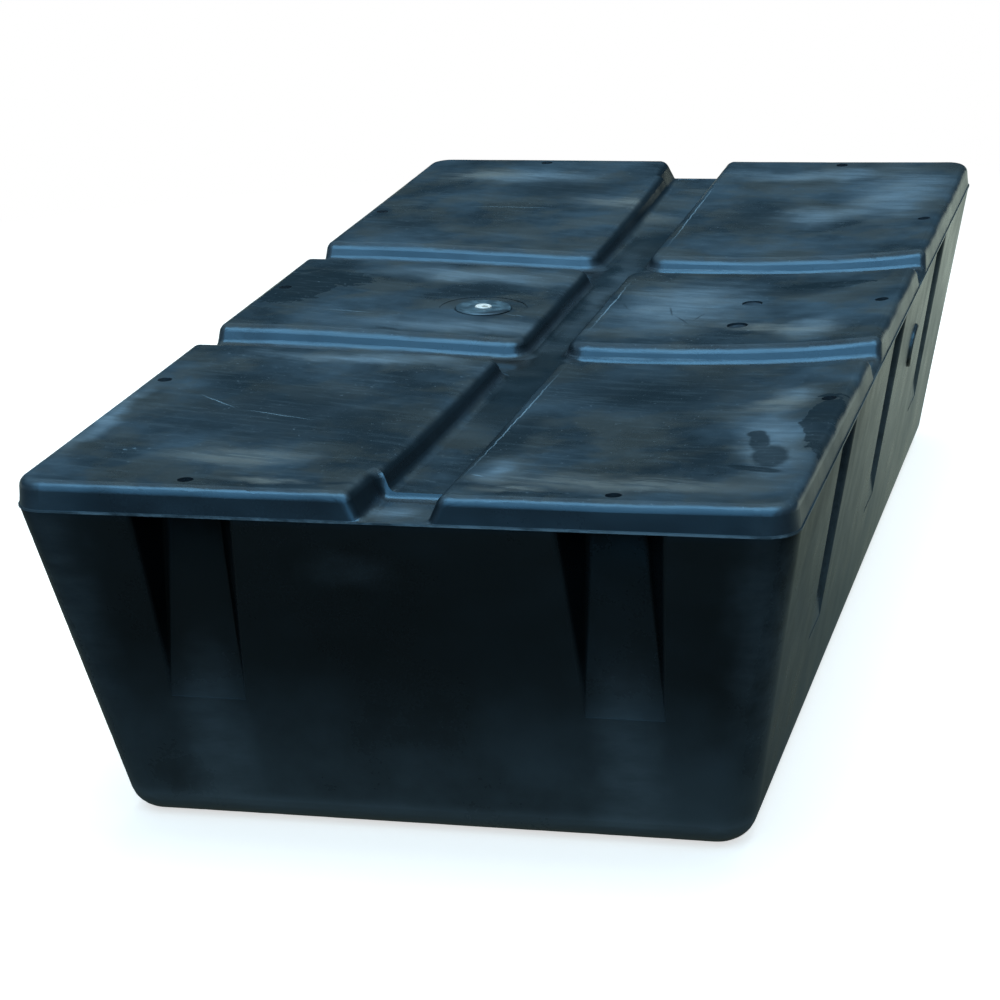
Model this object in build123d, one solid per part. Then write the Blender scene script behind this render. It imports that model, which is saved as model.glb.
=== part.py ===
"""Dock float drum: a rotomoulded polyethylene float that carries a floating dock.

One closed, foam-filled body with leaning walls, a vertical rim, six deck pads between
grooves, ten wall pockets under ten bolt holes, and the round closures in the deck.
Millimetres. +X is the width, +Y the length, +Z up, the origin is the bottom's centre.
"""

from build123d import *

import math
import os

# Overall size
width = 914.4
length = 1828.8
height = 446.0
rim_height = 36.0
corner_radius = 38.0
rim_lean = 3.0

# Leaning walls and bottom
side_lean = 77.0
end_lean = 83.0
bottom_corner_radius = 46.0
bottom_edge_radius = 38.0

# Deck pads and grooves, measured at the level of the pad tops
groove_depth = 25.0
groove_draft = 25.0
cross_groove_width = 100.0
middle_pad_length = 389.0
end_groove_left = 41.0
end_groove_right = 58.0
middle_groove_left = 33.0
middle_groove_right = 48.0
pad_corner_radius = 14.0
pad_root = 20.0
groove_edge_radius = 16.0
groove_foot_radius = 13.0
rim_edge_radius = 12.0

# Mouths at both ends of the lengthwise groove
mouth_depth = 33.0
mouth_left = 50.0
mouth_length = 112.0
mouth_root = 8.0
mouth_corner_radius = 3.0
mouth_foot_radius = 9.0

# Sag of the moulded deck: drops of the surface's control points from left to right
sag_drops = [3.0, 0.0, 46.0, 0.0]
sag_stations = 6
sag_margin = 20.0

# Wall pockets and the bolt holes above them
pocket_mouth = 124.0
pocket_floor = 67.0
pocket_depth = 49.0
pocket_spread = 13.0
pocket_inner_radius = 14.0
pocket_edge_radius = 9.0
pocket_skin = 0.1
pocket_fade = 0.6
end_pocket_spacing = 500.0
side_pocket_spacing = 494.0
bolt_hole_diameter = 19.0
end_hole_inset = 32.0
side_hole_inset = 29.0
side_hole_spacing = 490.0
side_hole_shift = 16.0

# Plain raised disc on the right wall
wall_disc_diameter = 64.0
wall_disc_proud = 5.0
wall_disc_root = 12.0
wall_disc_chamfer = 2.0
wall_disc_y = 258.0
wall_disc_level = 310.0

# Flash bead on the parting line
flash_proud = 1.2
flash_height = 2.4
flash_root = 3.0

# Fill disc in the left middle pad, in a socket inside a flat round land
fill_x = -118.0
fill_y = -46.0
fill_land_diameter = 123.0
fill_land_depth = 0.8
fill_disc_diameter = 78.0
fill_disc_thickness = 11.0
fill_disc_proud = 1.8
fill_disc_gap = 1.2
fill_disc_chamfer = 1.5

# Vent button in the centre of the fill disc, with a blind hole near its edge
button_diameter = 23.0
button_thickness = 6.0
button_proud = 1.6
button_gap = 0.4
button_chamfer = 1.0
button_hole_diameter = 8.0
button_hole_depth = 3.5
button_hole_x = 3.5
button_hole_y = -4.5

# Two vent plugs in the right middle pad
plug_x = 247.5
near_plug_y = -92.0
far_plug_y = 27.0
plug_diameter = 27.0
plug_thickness = 12.0
plug_gap = 0.8
plug_chamfer = 1.0
near_plug_sunk = 2.6
far_plug_sunk = 1.6

# Derived levels
part_level = height - rim_height
floor_level = height - groove_depth
side_angle = math.degrees(math.atan(side_lean / part_level))
rim_draft = math.degrees(math.atan(rim_lean / rim_height))


def outline(grow=0.0):
    """Plan of the rim, grown all round."""
    return RectangleRounded(width + 2 * grow, length + 2 * grow, corner_radius + grow)


def rim_distance(point):
    """How far a point lies inside the rim's outer wall, at the point's own level."""
    leaned = (point.Z - part_level) * rim_lean / rim_height
    beyond_x = abs(point.X) - (width / 2 - corner_radius)
    beyond_y = abs(point.Y) - (length / 2 - corner_radius)
    if beyond_x > 0 and beyond_y > 0:
        return corner_radius - math.hypot(beyond_x, beyond_y) - leaned
    return corner_radius - max(beyond_x, beyond_y) - leaned


def rim_block():
    """The rim band from the parting line up, with nothing cut from it."""
    return extrude(Pos(0, 0, part_level) * outline(), amount=rim_height, taper=rim_draft)


def sag_surface(level):
    """The deck surface, which hangs between the four sides of the rim."""
    half_x = width / 2 + sag_margin
    half_y = length / 2 + sag_margin
    net = []
    for i, drop in enumerate(sag_drops):
        x = half_x * (2 * i / (len(sag_drops) - 1) - 1)
        row = []
        for j in range(sag_stations):
            y = half_y * (2 * j / (sag_stations - 1) - 1)
            inside = 0 < j < sag_stations - 1
            row.append(Vector(x, y, level - drop if inside else level))
        net.append(row)
    return Face.make_bezier_surface(net)


def under_sag(level):
    """Everything under the deck surface of a level."""
    return extrude(sag_surface(level), amount=level + 40, dir=(0, 0, -1))


def deck_plane(x, y):
    """Tangent plane of the deck's upper surface at one place in plan."""
    u = (x / (width / 2 + sag_margin) + 1) / 2
    v = (y / (length / 2 + sag_margin) + 1) / 2
    surface = sag_surface(height)
    point = surface.position_at(u, v)
    normal = surface.normal_at(point)
    if normal.Z < 0:
        normal = -normal
    return Plane(point, x_dir=(1, 0, 0), z_dir=normal)


def deck_pad(low, high, near, far):
    """One drafted pad, from under the deck floor to above its sagging top."""
    draft_run = math.tan(math.radians(groove_draft))
    foot = part_level - pad_root
    grow = (height - foot) * draft_run
    plan = RectangleRounded(high - low + 2 * grow, far - near + 2 * grow, pad_corner_radius + grow)
    place = Pos((low + high) / 2, (near + far) / 2, foot)
    return extrude(place * plan, amount=height - foot + 2, taper=groove_draft)


def groove_mouth(end):
    """Cutter for the wider, deeper mouth of the lengthwise groove at one end."""
    beyond = 40.0
    deep = mouth_depth + mouth_root
    run = deep * math.tan(math.radians(groove_draft))
    low = -mouth_left + run
    high = end_groove_right + beyond
    size_y = mouth_length - run + beyond
    plan = RectangleRounded(high - low, size_y, mouth_corner_radius)
    place = Pos((low + high) / 2, end * (length / 2 + beyond - size_y / 2), height - deep)
    return extrude(place * plan, amount=deep + 10, taper=-groove_draft) - under_sag(height - mouth_depth)


def make_tub():
    """The leaning-walled lower body, up to the parting line."""
    top = Pos(0, 0, part_level) * outline()
    bottom = RectangleRounded(width - 2 * side_lean, length - 2 * end_lean, bottom_corner_radius)
    tub = loft([top.face(), bottom.face()], ruled=True)
    bottom_edges = tub.edges().filter_by(lambda e: (e @ 0.5).Z < 0.1)
    return fillet(bottom_edges, bottom_edge_radius)


def pocket_plan(left):
    """Plan of a pocket where a share of its depth is left, with rounded edges."""
    wall = pocket_depth * (1 - left) - pocket_skin
    half_floor = pocket_floor / 2 + pocket_spread * (1 - left)
    slope = (pocket_mouth - pocket_floor) / 2 / pocket_depth
    half_mouth = half_floor + slope * (pocket_depth - wall)
    half_outer = pocket_mouth
    corners = [
        (-half_outer, -pocket_depth),
        (half_outer, -pocket_depth),
        (half_outer, wall),
        (half_mouth, wall),
        (half_floor, pocket_depth),
        (-half_floor, pocket_depth),
        (-half_mouth, wall),
        (-half_outer, wall),
    ]
    plan = make_face(Polyline(*corners, close=True))
    floor = plan.vertices().filter_by(lambda v: abs(v.Y - pocket_depth) < 0.001)
    plan = fillet(floor, pocket_inner_radius * left)
    mouth = plan.vertices().filter_by(lambda v: abs(v.Y - wall) < 0.001 and abs(v.X) < half_outer - 1)
    return fillet(mouth, pocket_edge_radius * left)


def wall_pocket(lean):
    """Cutter for one pocket in a wall with this lean; it fades out where the wall reaches its floor."""
    drop = part_level * pocket_depth / lean
    last = pocket_fade / pocket_depth
    low = Pos(0, 0, -drop * (1 - last)) * pocket_plan(last)
    return loft([low.face(), pocket_plan(1.0).face()], ruled=True)


def pocket_places():
    """Mouth centre of each wall pocket in plan, and its turn."""
    places = []
    for x in (-end_pocket_spacing / 2, end_pocket_spacing / 2):
        places.append((x, -length / 2, 0))
        places.append((x, length / 2, 180))
    for row in (-1, 0, 1):
        places.append((width / 2, row * side_pocket_spacing, 90))
        places.append((-width / 2, row * side_pocket_spacing, 270))
    return places


def hole_places():
    """Centre of each bolt hole in plan, one above every pocket."""
    places = []
    for side in (-1, 1):
        for end in (-1, 1):
            places.append((side * end_pocket_spacing / 2, end * (length / 2 - end_hole_inset)))
        for row in (-1, 0, 1):
            y = row * side_hole_spacing + side_hole_shift
            places.append((side * (width / 2 - side_hole_inset), y))
    return places


def make_deck(tub):
    """The tub with its rim band, deck floor, pads and groove mouths."""
    block = tub + rim_block()
    deck = block & under_sag(floor_level)
    upper = block & under_sag(height)
    beyond = 40.0
    half_row = middle_pad_length / 2
    row_start = half_row + cross_groove_width
    mouths = [groove_mouth(end) for end in (-1, 1)]
    for mouth in mouths:
        deck -= mouth
    rows = [
        (-length / 2 - beyond, -row_start, end_groove_left, end_groove_right),
        (-half_row, half_row, middle_groove_left, middle_groove_right),
        (row_start, length / 2 + beyond, end_groove_left, end_groove_right),
    ]
    for near, far, left_edge, right_edge in rows:
        left_pad = upper & deck_pad(-width / 2 - beyond, -left_edge, near, far)
        deck += left_pad - mouths[0] - mouths[1]
        deck += upper & deck_pad(right_edge, width / 2 + beyond, near, far)
    return deck


def inside_edges(faces):
    """Edges of the given faces, without those on the rim's outer wall."""
    return [e for face in faces for e in face.edges() if rim_distance(e @ 0.5) > 0.5]


def deck_faces(body):
    """The upward faces of the pads, of the main groove floor and of the two mouths."""
    pads, floor, mouths = [], [], []
    for face in body.faces():
        if face.normal_at().Z < 0.95:
            continue
        middle = face.center()
        if middle.Z > height - groove_depth:
            pads.append(face)
        elif abs(middle.Y) > length / 2 - mouth_length:
            mouths.append(face)
        else:
            floor.append(face)
    return pads, floor, mouths


def round_deck(deck):
    """Rounds the feet of the pads, then their tops, then the whole rim in one chain."""
    step = length / 2 - mouth_length
    feet = inside_edges(deck_faces(deck)[1])
    feet = [e for e in feet if min(abs((e @ 0).Y), abs((e @ 1).Y)) < step]
    deck = fillet(feet, groove_foot_radius)
    deck = fillet(inside_edges(deck_faces(deck)[2]), mouth_foot_radius)
    deck = fillet(inside_edges(deck_faces(deck)[0]), groove_edge_radius)
    rim = []
    for edge in deck.edges():
        along = edge % 0.5
        if rim_distance(edge @ 0.5) < 0.05 and (edge @ 0.5).Z > part_level + 1 and abs(along.Z) < 0.97:
            rim.append(edge)
    return fillet(rim, rim_edge_radius)


def flash_bead():
    """The fine bead that the mould's parting line leaves round the tub."""
    ring = outline(flash_proud) - outline(-flash_root)
    return extrude(Pos(0, 0, part_level) * ring, amount=flash_height)


def wall_disc():
    """The plain raised disc moulded on the right wall."""
    level = wall_disc_level
    x = width / 2 - side_lean * (part_level - level) / part_level
    disc = Cylinder(wall_disc_diameter / 2, wall_disc_root + wall_disc_proud)
    disc = chamfer(disc.edges().sort_by(Axis.Z)[-1], wall_disc_chamfer)
    disc = Pos(0, 0, (wall_disc_proud - wall_disc_root) / 2) * disc
    return Pos(x, wall_disc_y, level) * Rot(0, 90 + side_angle, 0) * disc


def puck(diameter, low, high):
    """Round plate between two levels."""
    return Pos(0, 0, (low + high) / 2) * Cylinder(diameter / 2, high - low)


def broken_puck(diameter, low, high, size):
    """Round plate with its top edge broken by a chamfer."""
    plate = puck(diameter, low, high)
    return chamfer(plate.edges().sort_by(Axis.Z)[-1], size)


# Moulded body: tub, rim and deck, then the wall pockets and the bolt holes
float_body = round_deck(make_deck(make_tub()))
end_pocket = wall_pocket(end_lean)
side_pocket = wall_pocket(side_lean)
for x, y, turn in pocket_places():
    pocket = end_pocket if turn in (0, 180) else side_pocket
    float_body -= Pos(x, y, part_level) * Rot(0, 0, turn) * pocket
float_body += flash_bead()
float_body += wall_disc()
hole = puck(bolt_hole_diameter, part_level - rim_height, height + rim_height)
for x, y in hole_places():
    float_body -= Pos(x, y, 0) * hole

# Fill disc in its land and socket
cut_top = 10.0
fill_plane = deck_plane(fill_x, fill_y)
fill_floor = fill_disc_proud - fill_disc_thickness
float_body -= fill_plane * puck(fill_land_diameter, -fill_land_depth, cut_top)
float_body -= fill_plane * puck(fill_disc_diameter + 2 * fill_disc_gap, fill_floor, cut_top)
fill_disc = broken_puck(fill_disc_diameter, fill_floor, fill_disc_proud, fill_disc_chamfer)

# Vent button in the disc's own round recess
button_top = fill_disc_proud + button_proud
button_floor = button_top - button_thickness
fill_disc -= puck(button_diameter + 2 * button_gap, button_floor, cut_top)
vent_button = broken_puck(button_diameter, button_floor, button_top, button_chamfer)
blind_hole = puck(button_hole_diameter, button_top - button_hole_depth, cut_top)
vent_button -= Pos(button_hole_x, button_hole_y, 0) * blind_hole

# Vent plugs, one sunk deeper than the other
plugs = {}
for name, y, sunk in (("near", near_plug_y, near_plug_sunk), ("far", far_plug_y, far_plug_sunk)):
    plane = deck_plane(plug_x, y)
    float_body -= plane * puck(plug_diameter + 2 * plug_gap, -sunk - plug_thickness, cut_top)
    plugs[name] = plane * broken_puck(plug_diameter, -sunk - plug_thickness, -sunk, plug_chamfer)

os.makedirs("parts", exist_ok=True)
export_step(float_body, "parts/float_body.step")
export_step(fill_plane * fill_disc, "parts/fill_disc.step")
export_step(fill_plane * vent_button, "parts/vent_button.step")
export_step(plugs["near"], "parts/vent_plug_near.step")
export_step(plugs["far"], "parts/vent_plug_far.step")
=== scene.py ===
# %% [markdown]
# A dock float drum is one big hollow moulding that carries a floating dock. Powdered
# polyethylene is tumbled in a hot mould until it coats the walls, so every edge comes
# out soft, every wall leans for release, and the flat deck sags a little as it cools.
# The solid model brings all of those forms, and the round closures too. This script
# gives them their finish, and the marks of a season in a storage yard.

# %% Load the float
import bpy
import math
from mathutils import Matrix, Vector


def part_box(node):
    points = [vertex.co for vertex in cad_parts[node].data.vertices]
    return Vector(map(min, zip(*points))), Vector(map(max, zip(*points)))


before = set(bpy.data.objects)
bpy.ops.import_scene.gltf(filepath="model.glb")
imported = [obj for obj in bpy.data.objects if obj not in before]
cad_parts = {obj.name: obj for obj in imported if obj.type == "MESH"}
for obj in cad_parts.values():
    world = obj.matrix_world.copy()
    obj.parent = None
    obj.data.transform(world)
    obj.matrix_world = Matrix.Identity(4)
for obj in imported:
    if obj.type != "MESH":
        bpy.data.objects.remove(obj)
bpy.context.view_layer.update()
low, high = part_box("float_body")
width, length, height = high - low
print("float", [round(v, 4) for v in (width, length, height)], "m")

# %% [markdown]
# Colours are picked as they look on a screen, in sRGB hex. Shaders work in linear
# light, so one function turns a hex value into the linear colour that a socket takes.

# %% Colour helper
def colour(code):
    """Linear RGBA for an sRGB hex value such as "1c2226"."""
    parts = [int(code[i:i + 2], 16) / 255 for i in (0, 2, 4)]
    return [v / 12.92 if v <= 0.04045 else ((v + 0.055) / 1.055) ** 2.4 for v in parts] + [1.0]


print("808080 on a screen is", round(colour("808080")[0], 3), "in linear light")

# %% [markdown]
# The camera stands where a person stands to photograph a thing as long as they are
# tall: eye height, a few steps back, looking a little down and from the right. A long
# lens keeps the far end from shrinking much, and the slight roll is a hand-held one.

# %% Camera
def view_axes(azimuth, elevation, roll):
    """Right, up and forward directions of a camera, from three angles in degrees."""
    a, e, r = (math.radians(v) for v in (azimuth, elevation, roll))
    forward = Vector((-math.sin(a) * math.cos(e), math.cos(a) * math.cos(e), -math.sin(e)))
    right = forward.cross(Vector((0, 0, 1))).normalized()
    up = right.cross(forward)
    turned = math.cos(r) * right + math.sin(r) * up
    return turned, turned.cross(forward), forward


eye = Vector((0.9459, -3.9051, 1.4461))
right, up, forward = view_axes(15.27, 17.91, -2.83)
camera_data = bpy.data.cameras.new("camera")
camera_data.sensor_width = 36.0
camera_data.lens = 106.7
camera = bpy.data.objects.new("camera", camera_data)
camera.matrix_world = Matrix.Translation(eye) @ Matrix((right, up, -forward)).transposed().to_4x4()
bpy.context.scene.collection.objects.link(camera)
bpy.context.scene.camera = camera
print("camera is", round((eye - Vector((0, 0, height / 2))).length, 2), "m away")

# %% [markdown]
# One small function adds a shader node, sets its values and links its inputs. Every
# material below is a chain of such calls, which reads like a recipe.

# %% Node helper
def add(tree, kind, inputs=None, **settings):
    """Adds a node; inputs holds a value or another node's output for each socket."""
    node = tree.nodes.new("ShaderNode" + kind)
    for name, value in settings.items():
        setattr(node, name, value)
    for socket, value in (inputs or {}).items():
        if isinstance(value, bpy.types.NodeSocket):
            tree.links.new(value, node.inputs[socket])
        else:
            node.inputs[socket].default_value = value
    return node


def new_material(name):
    """An empty node material and its tree, with an output and a Principled shader."""
    material = bpy.data.materials.new(name)
    material.use_nodes = True
    tree = material.node_tree
    tree.nodes.clear()
    shader = add(tree, "BsdfPrincipled")
    output = add(tree, "OutputMaterial")
    tree.links.new(shader.outputs[0], output.inputs[0])
    return material, tree, shader


# %% [markdown]
# A colour ramp needs its stops set one by one, so a small helper does that. It is used
# for the ground and for the sky, which are what the black plastic mirrors.

# %% Colour ramp helper
def colour_ramp(tree, value, stops):
    """Colour ramp over a value from 0 to 1; stops are pairs of a place and a hex value."""
    ramp = add(tree, "ValToRGB", {0: value})
    elements = ramp.color_ramp.elements
    for index, (at, code) in enumerate(stops):
        stop = elements[index] if index < 2 else elements.new(at)
        stop.position = at
        stop.color = colour(code)
    return ramp.outputs[0]


# %% [markdown]
# The floor is a pale studio sweep. Only the camera sees it white, with the float's soft
# shadow on it. To the plastic it is the ground of a yard: dark at the foot of the near
# wall, bluish further out in front, and a pale grey-green behind. Leaning walls mirror
# the ground, so this is what sets the side wall apart from the near wall. The picture is
# cut out on white and shows no ground, so this one is invented. Plastic that mirrored
# the white floor instead would come out grey.

# %% Floor
WHITE = (1.0, 1.0, 1.0, 1.0)
FLOOR_SIZE = 60
SWEEP_FADE = (1.3, 3.0)
SWEEP_GLOW = 0.66
YARD_SPAN = (-6.0, 2.0)
YARD = [
    (0.0, "7db2d4"), (0.25, "6c9fc0"), (0.36, "20282c"),
    (0.62, "292f2e"), (0.75, "606c64"), (1.0, "d0e0d2"),
]


def floor_material():
    """White with a soft shadow for the camera, yard ground for every other ray."""
    material = bpy.data.materials.new("studio_sweep")
    material.use_nodes = True
    tree = material.node_tree
    tree.nodes.clear()
    place = add(tree, "TexCoord").outputs["Object"]
    away = add(tree, "VectorMath", {0: place}, operation="LENGTH").outputs["Value"]
    fade = add(tree, "MapRange", {0: away, 1: SWEEP_FADE[0], 2: SWEEP_FADE[1]})
    matt = add(tree, "BsdfDiffuse", {"Color": colour("fff2e2")})
    glow = add(tree, "Emission", {"Color": WHITE, "Strength": SWEEP_GLOW})
    white = add(tree, "Emission", {"Color": WHITE, "Strength": 1.0})
    near = add(tree, "AddShader", {0: matt.outputs[0], 1: glow.outputs[0]})
    seen = add(tree, "MixShader", {0: fade.outputs[0], 1: near.outputs[0], 2: white.outputs[0]})
    along = add(tree, "SeparateXYZ", {0: place}).outputs["Y"]
    front = add(tree, "MapRange", {0: along, 1: YARD_SPAN[0], 2: YARD_SPAN[1]}).outputs[0]
    yard = colour_ramp(tree, front, YARD)
    ground = add(tree, "Emission", {"Color": yard, "Strength": 1.0})
    camera_ray = add(tree, "LightPath").outputs["Is Camera Ray"]
    both = add(tree, "MixShader", {0: camera_ray, 1: ground.outputs[0], 2: seen.outputs[0]})
    add(tree, "OutputMaterial", {0: both.outputs[0]})
    return material


bpy.ops.mesh.primitive_plane_add(size=FLOOR_SIZE, location=(0, 0, 0))
floor = bpy.context.object
floor.name = "floor"
floor.data.materials.append(floor_material())
print("floor", [round(v) for v in floor.dimensions], "m")

# %% [markdown]
# The sky is a dome that is dim and blue-grey at the horizon and pale overhead, and it is
# invented like the ground. The camera sees plain white in its place. The low
# view mirrors its lower part in the deck, which keeps the pads dark at the near end and
# lets them brighten towards the far end.

# %% Sky
SKY = [(0.0, "1b252b"), (0.16, "294557"), (0.35, "2c4a5c"), (0.6, "88b4d2"), (1.0, "bcdcf2")]
SKY_STRENGTH = 1.3

world = bpy.data.worlds.new("studio")
bpy.context.scene.world = world
world.use_nodes = True
sky = world.node_tree
sky.nodes.clear()
direction = add(sky, "TexCoord").outputs["Generated"]
dome = colour_ramp(sky, add(sky, "SeparateXYZ", {0: direction}).outputs["Z"], SKY)
room = add(sky, "Background", {"Color": dome, "Strength": SKY_STRENGTH})
backdrop = add(sky, "Background", {"Color": WHITE, "Strength": 1.0})
camera_ray = add(sky, "LightPath").outputs["Is Camera Ray"]
mixed = add(sky, "MixShader", {0: camera_ray, 1: room.outputs[0], 2: backdrop.outputs[0]})
add(sky, "OutputWorld", {0: mixed.outputs[0]})
print("sky of", len(SKY), "tones at strength", SKY_STRENGTH)

# %% [markdown]
# Black plastic shows its shape by what it mirrors. Two blue soft boxes are there only to
# be mirrored: a very wide one in front, high up, draws the bright bands on the groove
# walls, and a narrower one nearer by draws the line along the rim's rounded edge. A pale
# one overhead does the opposite: it lights the dust, bloom and painted sheen of the deck,
# and is never mirrored.

# %% Lamps
def softbox(name, place, aim, size, watts, tint):
    """A rectangular area lamp at a place, turned to its aim."""
    lamp = bpy.data.lights.new(name, "AREA")
    lamp.shape = "RECTANGLE"
    lamp.size, lamp.size_y = size
    lamp.energy = watts
    lamp.color = colour(tint)[:3]
    holder = bpy.data.objects.new(name, lamp)
    holder.location = place
    direction = Vector(aim) - Vector(place)
    holder.rotation_euler = direction.to_track_quat("-Z", "Y").to_euler()
    bpy.context.scene.collection.objects.link(holder)
    print("lamp", name, watts, "W")
    return holder


overhead = softbox("overhead", (0, 0.3, 3.6), (0, 0, 0), (3.0, 3.0), 104, "c8def0")
overhead.visible_glossy = False
front_lamp = softbox("front", (0.4, -4.6, 4.2), (0, 0, 0.4), (8.0, 6.5), 500, "7cc6f8")
edge_lamp = softbox("edge", (0.2, -1.6, 4.4), (0, 0, 0.4), (6.0, 2.0), 270, "98d2fa")
for lamp in (front_lamp, edge_lamp):
    lamp.visible_diffuse = False

# %% [markdown]
# Marks are masks. A mask is 1 on a mark and 0 off it. An ellipse with a soft edge makes
# both a stain and a scratch, since a scratch is only a very thin, tapering ellipse. The
# coordinates are first pushed about by a noise, which makes every outline uneven.

# %% Mask helpers
def ramp_up(tree, value, start, end, low=0.0, high=1.0):
    """Smooth step of a value from low at start to high at end."""
    inputs = {0: value, 1: start, 2: end, 3: low, 4: high}
    return add(tree, "MapRange", inputs, interpolation_type="SMOOTHSTEP").outputs[0]


def maths(tree, operation, first, second=0.0, clamp=False):
    """One arithmetic node."""
    node = add(tree, "Math", {0: first, 1: second}, operation=operation, use_clamp=clamp)
    return node.outputs[0]


def times(tree, *values):
    """Product of several masks or numbers."""
    result = values[0]
    for value in values[1:]:
        result = maths(tree, "MULTIPLY", result, value)
    return result


# %% [markdown]
# An ellipse is the distance from a centre, in coordinates that are moved, turned and
# scaled by a Mapping node. Its third axis may be very long, so that it marks a surface
# at any height. Several masks join into one, and a mask mixes two colours.

# %% Shapes and colours
FLAT = 1000.0


def ellipse(tree, place, centre, size, turn=0.0, edge=0.5, strength=1.0):
    """Mask of a soft ellipsoid: centre and half axes in metres, turn about Z in degrees."""
    rotation = (0, 0, math.radians(turn))
    inputs = {"Vector": place, "Location": centre, "Rotation": rotation, "Scale": size}
    local = add(tree, "Mapping", inputs, vector_type="TEXTURE").outputs[0]
    reach = add(tree, "VectorMath", {0: local}, operation="LENGTH").outputs["Value"]
    return ramp_up(tree, reach, 1.0, 1.0 - edge, 0.0, strength)


def any_of(tree, masks):
    """The stronger of several masks at every point."""
    result = masks[0]
    for mask in masks[1:]:
        result = maths(tree, "MAXIMUM", result, mask)
    return result


def blend(tree, amount, first, second):
    """Mixes two colours; each is a hex value or another node's output."""
    pair = [colour(c) if isinstance(c, str) else c for c in (first, second)]
    node = add(tree, "Mix", {0: amount, 6: pair[0], 7: pair[1]}, data_type="RGBA")
    return node.outputs[2]


# %% [markdown]
# Noise stands in for everything that nobody placed. Its size is given in metres, so it
# can be compared with the real thing, and stretching it makes streaks of blobs. The same
# noise also pushes coordinates about, which roughens whatever is drawn on them.

# %% Noises
def noise(tree, place, size, detail=4.0, roughness=0.55, stretch=None, turn=0.0):
    """Noise with blobs of about this size in metres, stretched along a turned X."""
    if stretch:
        rotation = (0, 0, math.radians(turn))
        inputs = {"Vector": place, "Rotation": rotation, "Scale": (stretch, 1.0, 1.0)}
        place = add(tree, "Mapping", inputs, vector_type="TEXTURE").outputs[0]
    inputs = {"Vector": place, "Scale": 1 / size, "Detail": detail, "Roughness": roughness}
    return add(tree, "TexNoise", inputs).outputs[0]


def uneven(tree, place, size, amount):
    """The coordinates, pushed about by a noise of this size."""
    push = add(tree, "TexNoise", {"Vector": place, "Scale": 1 / size, "Detail": 4.0})
    half = {0: push.outputs["Color"], 1: (0.5, 0.5, 0.5)}
    centred = add(tree, "VectorMath", half, operation="SUBTRACT").outputs[0]
    inputs = {0: centred, 1: (amount, amount, amount), 2: place}
    return add(tree, "VectorMath", inputs, operation="MULTIPLY_ADD").outputs[0]


# %% [markdown]
# These are the marks of the one float in the picture. Each row holds a centre, two half
# axes and a turn. Shades have soft edges: a few are dark smudges, and the large ones in
# the middle of the pads are painted shade, where the sagging deck mirrors less sky. Stains
# lie where water dried, with hard ones, and one of them is a hook with a foot. The dark
# lines are like hairs, where something thin lay on the deck.

# %% Dark marks on the deck
SMUDGES_AND_SHADE = [
    (-0.220, -0.590, 0.230, 0.210, 0), (0.200, -0.430, 0.260, 0.170, -8),
    (0.080, -0.640, 0.040, 0.200, -4), (0.310, 0.110, 0.110, 0.060, 25),
    (-0.180, 0.690, 0.150, 0.090, 5), (-0.345, -0.450, 0.085, 0.050, -25),
    (-0.360, 0.430, 0.090, 0.075, -10), (0.170, 0.560, 0.080, 0.150, 0),
    (-0.217, -0.180, 0.030, 0.008, -25), (-0.190, -0.872, 0.060, 0.018, 3),
    (0.290, -0.868, 0.080, 0.016, -2), (-0.070, -0.872, 0.035, 0.014, 0),
]
STAINS = [
    (-0.413, 0.022, 0.090, 0.150, 0), (-0.372, 0.078, 0.100, 0.060, -18),
    (0.448, -0.600, 0.050, 0.210, 8), (0.340, 0.120, 0.090, 0.030, 10),
]
HOOK = [
    (0.374, -0.656, 0.015, 0.050, 10), (0.396, -0.716, 0.026, 0.056, 10),
    (0.387, -0.766, 0.042, 0.011, -18), (0.365, -0.621, 0.014, 0.018, 0),
]
DARK_LINES = [
    (0.142, -0.020, 0.034, 0.0022, -76), (0.166, -0.066, 0.036, 0.0022, -58),
    (0.187, -0.050, 0.028, 0.0020, 78), (0.075, -0.002, 0.027, 0.0020, -63),
    (-0.020, -0.100, 0.024, 0.0022, -70), (0.250, -0.140, 0.060, 0.0060, 10),
]
print(len(SMUDGES_AND_SHADE), "shades and", len(STAINS) + len(HOOK), "stains")
print(len(DARK_LINES), "dark lines")

# %% [markdown]
# Pale patches are partly dust, blown in and half washed off, and partly painted sheen,
# where the pads mirror more sky. Scuffs are brownish smears at the near edge, from dragging
# the float. Scratches are only some 3 mm wide. Three of them run along the right edge of
# the long groove, and are a painted highlight on its rounded edge.

# %% Pale marks on the deck
DUST_AND_SHEEN = [
    (-0.435, -0.650, 0.030, 0.220, 0), (-0.110, -0.140, 0.240, 0.060, 3),
    (-0.180, 0.130, 0.220, 0.060, 0), (0.150, 0.000, 0.130, 0.190, 0),
    (0.388, -0.650, 0.060, 0.210, 14), (0.394, -0.450, 0.045, 0.060, 0),
    (0.370, 0.680, 0.120, 0.260, 0), (0.100, -0.800, 0.040, 0.060, 0),
    (-0.200, -0.330, 0.230, 0.035, 0), (-0.240, 0.770, 0.170, 0.070, 0),
    (0.270, 0.560, 0.170, 0.090, 12), (0.225, 0.810, 0.210, 0.050, 0),
    (0.000, -0.865, 0.045, 0.050, 0), (0.010, 0.150, 0.030, 0.400, 0),
    (0.350, -0.120, 0.060, 0.080, 0),
]
SCUFFS = [
    (-0.215, -0.785, 0.130, 0.050, 5), (0.240, -0.835, 0.220, 0.050, -2),
    (-0.060, 0.620, 0.110, 0.045, 0), (-0.330, 0.790, 0.100, 0.055, 10),
    (-0.160, -0.870, 0.070, 0.018, 0), (0.300, -0.110, 0.120, 0.035, -15),
    (0.370, -0.490, 0.060, 0.050, 30), (0.130, -0.870, 0.060, 0.020, 0),
]
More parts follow.
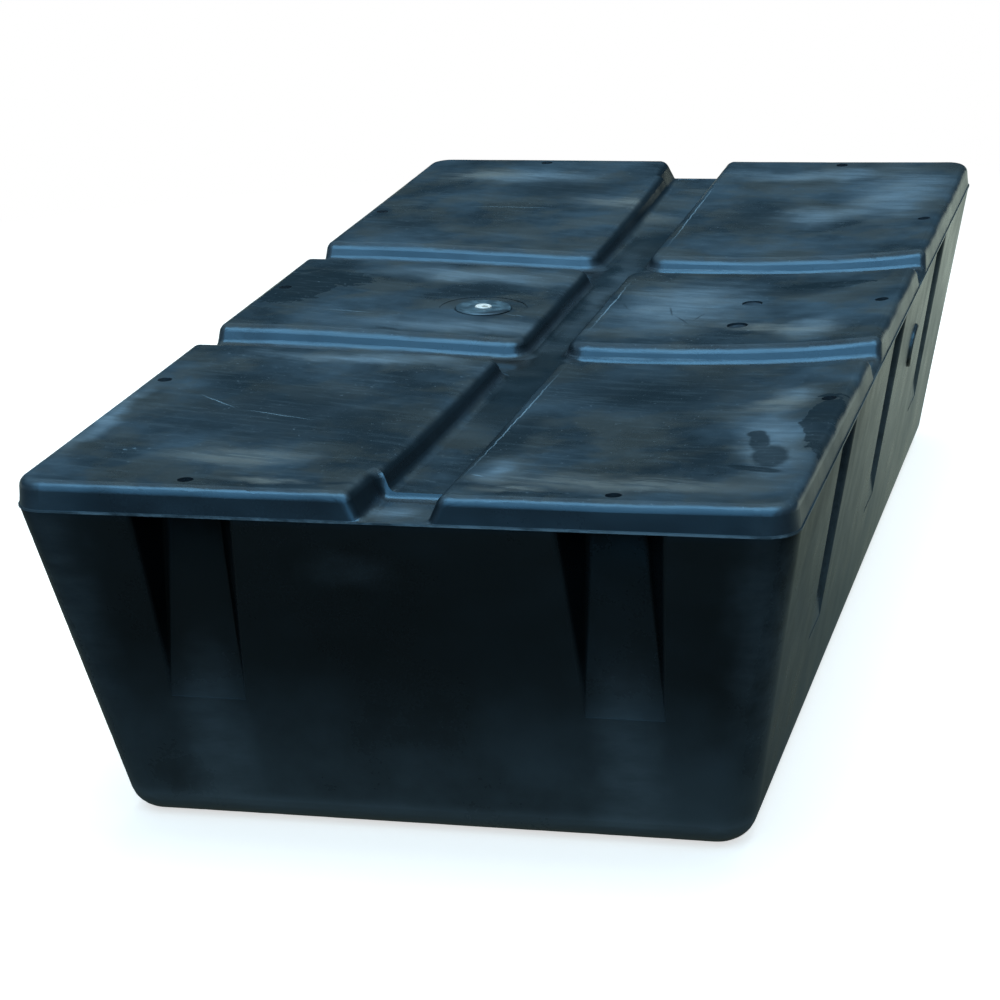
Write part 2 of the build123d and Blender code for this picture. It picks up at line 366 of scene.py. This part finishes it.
SCRATCHES_AND_HIGHLIGHT = [
    (-0.325, -0.560, 0.052, 0.0018, -39), (-0.228, -0.606, 0.066, 0.0015, -16),
    (-0.067, -0.073, 0.024, 0.0012, -22), (0.079, -0.820, 0.012, 0.0022, -26),
    (-0.365, -0.775, 0.004, 0.0030, 10), (-0.355, -0.769, 0.004, 0.0025, 0),
    # painted highlight: the rows at 0.063 and 0.053 across, along the long groove's rounded right
    # edge
    (0.063, -0.590, 0.300, 0.0016, 90), (0.053, 0.000, 0.165, 0.0014, 90),
    (0.063, 0.560, 0.260, 0.0014, 90), (0.196, 0.005, 0.024, 0.0015, 2),
    (-0.230, 0.560, 0.090, 0.0016, 4), (-0.300, -0.100, 0.055, 0.0013, -6),
]
print(len(DUST_AND_SHEEN), "dusty places,", len(SCUFFS), "scuffs and", len(SCRATCHES_AND_HIGHLIGHT), "scratches_and_highlight")


def marks(tree, place, rows, edge):
    """One mask for a whole list of marks on the deck, at any height."""
    shapes = []
    for across, along, half_across, half_along, turn in rows:
        centre, size = (across, along, 0), (half_across, half_along, FLAT)
        shapes.append(ellipse(tree, place, centre, size, turn, edge))
    return any_of(tree, shapes)


# %% [markdown]
# Rotomoulded polyethylene is black all through, with a fine orange-peel skin from the
# mould. Its material is built up in the next cells, on one node tree: first where a
# point is and which way it faces, then the deck, the walls, the gloss and the relief.
# The deck mask is 1 on whatever lies up in the open, such as pads and groove floors.

# %% Body material: place and facing
body, tree, shader = new_material("weathered_black_polyethylene")
place = add(tree, "TexCoord").outputs["Object"]
x, y, z = add(tree, "SeparateXYZ", {0: place}).outputs
facing = add(tree, "SeparateXYZ", {0: add(tree, "NewGeometry").outputs["Normal"]}).outputs
upward = ramp_up(tree, facing[2], 0.35, 0.98)
across, forth, level = (maths(tree, "ABSOLUTE", part) for part in facing)
deck = times(tree, upward, ramp_up(tree, z, 0.36, 0.38))
sideways = ramp_up(tree, level, 0.5, 0.3)
print(body.name, "starts with", len(tree.nodes), "nodes")

# %% [markdown]
# Weather works at several sizes, so there is a noise for each: clouds of 160 mm, wiped
# streaks of 22 mm, brush marks of 9 mm, and a grain of 5 mm. Three sets of uneven
# coordinates roughen the outlines of marks: a range of 90 mm for dust and painted sheen,
# 45 mm for dark smudges, painted shade and scuffs, and 6 mm for thin and sharp ones.

# %% Body material: noises
cloud = noise(tree, place, 0.16, 6.0, 0.6)
streak = noise(tree, place, 0.022, 7.0, 0.65, stretch=4.0, turn=-12)
grain = noise(tree, place, 0.005, 3.0)
rough_place = uneven(tree, place, 0.045, 0.045)
fine_place = uneven(tree, place, 0.02, 0.006)
soft_place = uneven(tree, place, 0.09, 0.09)
brush = noise(tree, fine_place, 0.009, 4.0, 0.6, stretch=9.0, turn=-10)
lines = ramp_up(tree, brush, 0.50, 0.66)
print("noises of 160, 22, 9 and 5 mm")

# %% [markdown]
# The deck's masks come from the lists of marks. A stain's outline is curly, like that of
# a puddle that dried: a swirling noise is added to the soft ellipse, and the sum is cut
# off sharply. The hook keeps its own outline.

# %% Body material: masks of the deck
smudges_and_shade = times(tree, marks(tree, rough_place, SMUDGES_AND_SHADE, 0.9), deck)
swirl_inputs = {"Vector": place, "Scale": 1 / 0.035, "Detail": 5.0, "Distortion": 1.2}
swirl = add(tree, "TexNoise", swirl_inputs).outputs[0]
pool = maths(tree, "ADD", marks(tree, place, STAINS, 1.0), swirl)
hook = marks(tree, fine_place, HOOK, 0.35)
stains = times(tree, any_of(tree, [ramp_up(tree, pool, 0.80, 0.86), hook]), deck)
dust_and_sheen = times(tree, marks(tree, soft_place, DUST_AND_SHEEN, 1.0), deck)
scuffs = times(tree, marks(tree, rough_place, SCUFFS, 0.9), deck)
dark_lines = times(tree, marks(tree, fine_place, DARK_LINES, 0.9), deck)
scratches_and_highlight = times(tree, marks(tree, fine_place, SCRATCHES_AND_HIGHLIGHT, 0.9), deck)
print("deck masks,", len(tree.nodes), "nodes so far")

# %% [markdown]
# The colour of the deck is laid on in the order in which it came: clean plastic, painted
# paler on the walls than on the deck as painted light; a grey-blue bloom that is partly
# painted sheen; a brownish film; dust that is partly painted sheen; the soft dark places,
# partly painted shade; scuffs, stains, dark lines and scratches, three of them a painted
# highlight. A light brushing and some grit go over all of it.

# %% Body material: colour of the deck
# painted light: the walls, and the rim band a little more, are painted paler than the deck, since
# they get less light
above_rim = ramp_up(tree, z, 0.400, 0.414)
skin = blend(tree, above_rim, "302f2d", "343a3f")
skin = blend(tree, deck, skin, "121415")
streaky = ramp_up(tree, streak, 0.3, 0.7, 0.7, 1.0)
# painted sheen in part: upward faces get a grey-blue tone that stands for the sky they mirror,
# besides weathering bloom
bloom_and_sheen = times(tree, ramp_up(tree, cloud, 0.30, 0.80), streaky, upward)
skin = blend(tree, bloom_and_sheen, skin, "3d4d56")
patches = noise(tree, rough_place, 0.09, 3.0)
film = times(tree, ramp_up(tree, patches, 0.42, 0.62), deck, 0.6)
skin = blend(tree, film, skin, "3d3a30")
streaked = ramp_up(tree, streak, 0.30, 0.66, 0.55, 1.0)
patchiness = times(tree, streaked, ramp_up(tree, brush, 0.3, 0.7, 0.6, 1.0))
# painted sheen in part: pale patches where the pads mirror more sky, and partly dust
skin = blend(tree, times(tree, dust_and_sheen, patchiness, 0.75), skin, "74838a")
# painted shade in part: the large soft dark places in the middle of the pads; the rest are smudges
skin = blend(tree, times(tree, smudges_and_shade, 0.9), skin, "101314")
smear = any_of(tree, [ramp_up(tree, streak, 0.40, 0.66), lines])
smear = maths(tree, "ADD", smear, 0.3, clamp=True)
skin = blend(tree, times(tree, scuffs, smear, 0.8), skin, "67645a")
skin = blend(tree, times(tree, stains, 0.85), skin, "0d0e0e")
skin = blend(tree, times(tree, dark_lines, 0.75), skin, "0d0e0e")
# scratches, and a painted highlight along the long groove's right edge
skin = blend(tree, times(tree, scratches_and_highlight, 0.6), skin, "8fa6b0")
skin = blend(tree, times(tree, lines, deck, 0.07), skin, "74858b")
specks = times(tree, ramp_up(tree, grain, 0.66, 0.74), deck, 0.30)
skin = blend(tree, specks, skin, "8b9aa0")
print("deck colour,", len(tree.nodes), "nodes so far")

# %% [markdown]
# The wall pockets are found by measure. A wall leans in by its draft from the parting
# line down, so how far a point lies inside that plane says whether it is in a pocket.
# The pocket's flanks are painted nearly black, and each pocket darker towards its top
# under the rim: both are painted shade, since the light alone leaves them too pale. A
# flank faces along the wall, which is across on an end wall and lengthwise on a side wall.

# %% Body material: wall pockets
PARTING = 0.410
HALF_WIDTH, HALF_LENGTH = 0.4572, 0.9144
SIDE_LEAN, END_LEAN = 0.077, 0.083


def depth_inside(tree, outward, half, lean):
    """How far a point lies inside a leaning wall, in metres."""
    down = maths(tree, "SUBTRACT", PARTING, z)
    plane = maths(tree, "SUBTRACT", half, times(tree, down, lean / PARTING))
    return maths(tree, "SUBTRACT", plane, maths(tree, "ABSOLUTE", outward))


side_in = depth_inside(tree, x, HALF_WIDTH, SIDE_LEAN)
end_in = depth_inside(tree, y, HALF_LENGTH, END_LEAN)
inward = maths(tree, "MINIMUM", side_in, end_in)
wall = times(tree, ramp_up(tree, z, 0.4095, 0.4075), ramp_up(tree, z, 0.055, 0.09))
pocket = times(tree, ramp_up(tree, inward, 0.001, 0.008), wall)
on_end = maths(tree, "LESS_THAN", end_in, side_in)
turned = add(tree, "Mix", {0: on_end, 2: forth, 3: across}).outputs[0]
# painted shade: the flanks, and the top of each pocket under the rim, go nearly black
painted_flank_shade = times(tree, ramp_up(tree, turned, 0.15, 0.5), pocket)
painted_pocket_shade = times(tree, pocket, ramp_up(tree, z, 0.36, PARTING, 0.0, 0.7))
skin = blend(tree, any_of(tree, [painted_flank_shade, painted_pocket_shade]), skin, "030404")
print("pockets lie 1 to 8 mm and more inside the walls")

# %% [markdown]
# The side walls under the rim and the steep sides of the long groove are painted darker
# than their neighbours: this is painted shade.

# %% Body material: painted shade
# painted shade: the side walls darken towards the rim
painted_eaves_shade = times(tree, ramp_up(tree, z, 0.26, 0.40), wall, across, 0.45)
skin = blend(tree, painted_eaves_shade, skin, "16181a")
mid_strip = ramp_up(tree, maths(tree, "ABSOLUTE", x), 0.10, 0.08)
# painted shade: the steep sides of the long groove
painted_gully_shade = times(tree, ramp_up(tree, across, 0.3, 0.75), mid_strip)
painted_gully_shade = times(tree, painted_gully_shade, ramp_up(tree, z, PARTING, 0.42), 0.9)
skin = blend(tree, painted_gully_shade, skin, "050607")
print("sheltered places,", len(tree.nodes), "nodes so far")

# %% [markdown]
# Splashed dirt dries on the lower wall. The near wall is also paler in columns below the
# two pockets and beside the corners. The rounded foot is painted paler all round, which is
# painted light: it makes up for the dark ground it mirrors. The last touch is the flash
# line, a thin bead on the mould's parting line, rubbed paler at the two ends.

# %% Body material: wall dust, pale columns, painted light on the foot and flash line
settled = ramp_up(tree, cloud, 0.2, 0.7, 0.3, 1.0)
low_dust = times(tree, ramp_up(tree, z, 0.26, 0.02), settled, 0.8)
COLUMNS = [
    ((-0.25, -0.9, 0.06), (0.06, FLAT, 0.22), 1.0),
    ((0.25, -0.9, 0.06), (0.06, FLAT, 0.22), 1.0),
    ((-0.42, -0.9, 0.24), (0.07, FLAT, 0.26), 0.8),
    ((0.43, -0.9, 0.24), (0.07, FLAT, 0.26), 0.8),
    ((-0.44, -0.9, 0.22), (0.10, FLAT, 0.34), 1.0),
    ((-0.06, -0.9, 0.35), (0.07, FLAT, 0.035), 0.3),
]
columns = [ellipse(tree, rough_place, at, size, 0, 0.9, much) for at, size, much in COLUMNS]
column_breakup = ramp_up(tree, streak, 0.2, 0.7, 0.4, 1.0)
pale_columns = times(tree, any_of(tree, columns), column_breakup, 0.36)
skin = blend(tree, times(tree, low_dust, sideways), skin, "727a7d")
skin = blend(tree, times(tree, pale_columns, sideways), skin, "a4adb2")
# painted light: the rounded foot is painted paler all round
painted_foot_light = times(tree, ramp_up(tree, z, 0.045, 0.010), ramp_up(tree, level, 0.97, 0.80), 0.8)
skin = blend(tree, painted_foot_light, skin, "9aa2a6")
bead = times(tree, ramp_up(tree, z, 0.4088, 0.4102), ramp_up(tree, z, 0.4135, 0.4122), sideways)
rubbed = ramp_up(tree, streak, 0.40, 0.60, 0.2, 1.0)
on_ends = ramp_up(tree, forth, 0.2, 0.7, 0.25, 1.0)
skin = blend(tree, times(tree, bead, rubbed, on_ends), skin, "a6b8c1")
tree.links.new(skin, shader.inputs["Base Color"])
print("wall colour,", len(tree.nodes), "nodes so far")

# %% [markdown]
# Gloss follows the marks. Clean polyethylene has a soft sheen, and the pale patches of dust
# and painted sheen and the scuffs are dull, while a dried stain keeps more of its shine. Real
# polyethylene mirrors without a tint. The blue one here follows the cast of the picture, as
# the blue lamps do.

# %% Body material: gloss
POLYETHYLENE_IOR = 1.51
BLUE_CAST = (0.66, 0.88, 1.0, 1.0)

gloss = ramp_up(tree, cloud, 0.3, 0.7, 0.22, 0.35)
gloss = maths(tree, "ADD", gloss, times(tree, dust_and_sheen, 0.16))
gloss = maths(tree, "ADD", gloss, times(tree, scuffs, 0.14))
gloss = maths(tree, "SUBTRACT", gloss, times(tree, stains, 0.08))
gloss = maths(tree, "ADD", gloss, times(tree, grain, 0.06))
gloss = maths(tree, "SUBTRACT", gloss, times(tree, pocket, 0.08))
tree.links.new(gloss, shader.inputs["Roughness"])
shader.inputs["IOR"].default_value = POLYETHYLENE_IOR
shader.inputs["Specular Tint"].default_value = BLUE_CAST
print("roughness can go from 0.14 to 0.71")

# %% [markdown]
# Relief comes in three sizes too: the orange peel of the mould, some 4 mm apart; slight
# dents of 50 mm; and long waves of 200 mm from uneven cooling, which make every
# highlight wander a little.

# %% Body material: relief
RELIEF = [(0.004, 3.0, 0.00009), (0.20, 2.0, 0.012), (0.05, 2.0, 0.0005)]
normal = None
for size, detail, depth in RELIEF:
    inputs = {"Height": noise(tree, place, size, detail), "Distance": depth, "Strength": 1.0}
    if normal is not None:
        inputs["Normal"] = normal
    normal = add(tree, "Bump", inputs).outputs[0]
tree.links.new(normal, shader.inputs["Normal"])
print(body.name, "has", len(tree.nodes), "nodes")

# %% [markdown]
# The closures are small mouldings of their own, in the same plastic but with a finer
# skin. The fill disc is greyer than the body, and the vent button in it is white. The
# two vent plugs are black, a little duller than the body.

# %% Closure material
def closure(name, clean, worn, stains=()):
    """Moulded polyethylene of two close colours, with dark marks where they are given."""
    material, tree, shader = new_material(name)
    place = add(tree, "TexCoord").outputs["Object"]
    cloud = noise(tree, place, 0.012, 6.0, 0.6)
    skin = blend(tree, ramp_up(tree, cloud, 0.38, 0.66), clean, worn)
    if stains:
        rough_place = uneven(tree, place, 0.006, 0.003)
        spots = any_of(tree, [ellipse(tree, rough_place, *row) for row in stains])
        skin = blend(tree, times(tree, spots, 0.85), skin, "10151a")
    tree.links.new(skin, shader.inputs["Base Color"])
    tree.links.new(ramp_up(tree, cloud, 0.3, 0.7, 0.34, 0.44), shader.inputs["Roughness"])
    peel = {"Height": noise(tree, place, 0.002, 3.0), "Distance": 0.00006, "Strength": 1.0}
    tree.links.new(add(tree, "Bump", peel).outputs[0], shader.inputs["Normal"])
    shader.inputs["IOR"].default_value = POLYETHYLENE_IOR
    return material


# %% [markdown]
# The disc carries two small dark spots and a dark crescent along its near right edge. The
# crescent is painted shadow, where the disc's edge stands proud of the rim of its socket.

# %% Closure finishes
disc_low, disc_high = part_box("fill_disc")
disc = (disc_low + disc_high) / 2
disc_spots_and_shadow = [
    # painted shadow: the first row, the dark crescent at the near right edge
    ((disc.x + 0.024, disc.y - 0.024, disc.z), (0.030, 0.0075, FLAT), 45, 0.4),
    ((disc.x - 0.010, disc.y + 0.012, disc.z), (0.008, 0.0040, FLAT), 0, 0.8),
    ((disc.x - 0.027, disc.y - 0.022, disc.z), (0.014, 0.0030, FLAT), -40, 0.9),
]
plug_finish = closure("black_polyethylene_plug", "141a1f", "2c3b45")
finishes = {
    "float_body": body,
    "fill_disc": closure("grey_polyethylene_disc", "2e3d43", "4c6067", disc_spots_and_shadow),
    "vent_button": closure("white_polyethylene_button", "ded6c8", "efe8dc"),
    "vent_plug_near": plug_finish,
    "vent_plug_far": plug_finish,
}
for name, finish in finishes.items():
    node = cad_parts[name]
    node.data.materials.clear()
    node.data.materials.append(finish)
    print(name, "gets", finish.name, "on", len(node.data.polygons), "triangles")

# %% [markdown]
# Colours are shown as they are, with no film look.

# %% Finish
bpy.context.scene.view_settings.view_transform = "Standard"
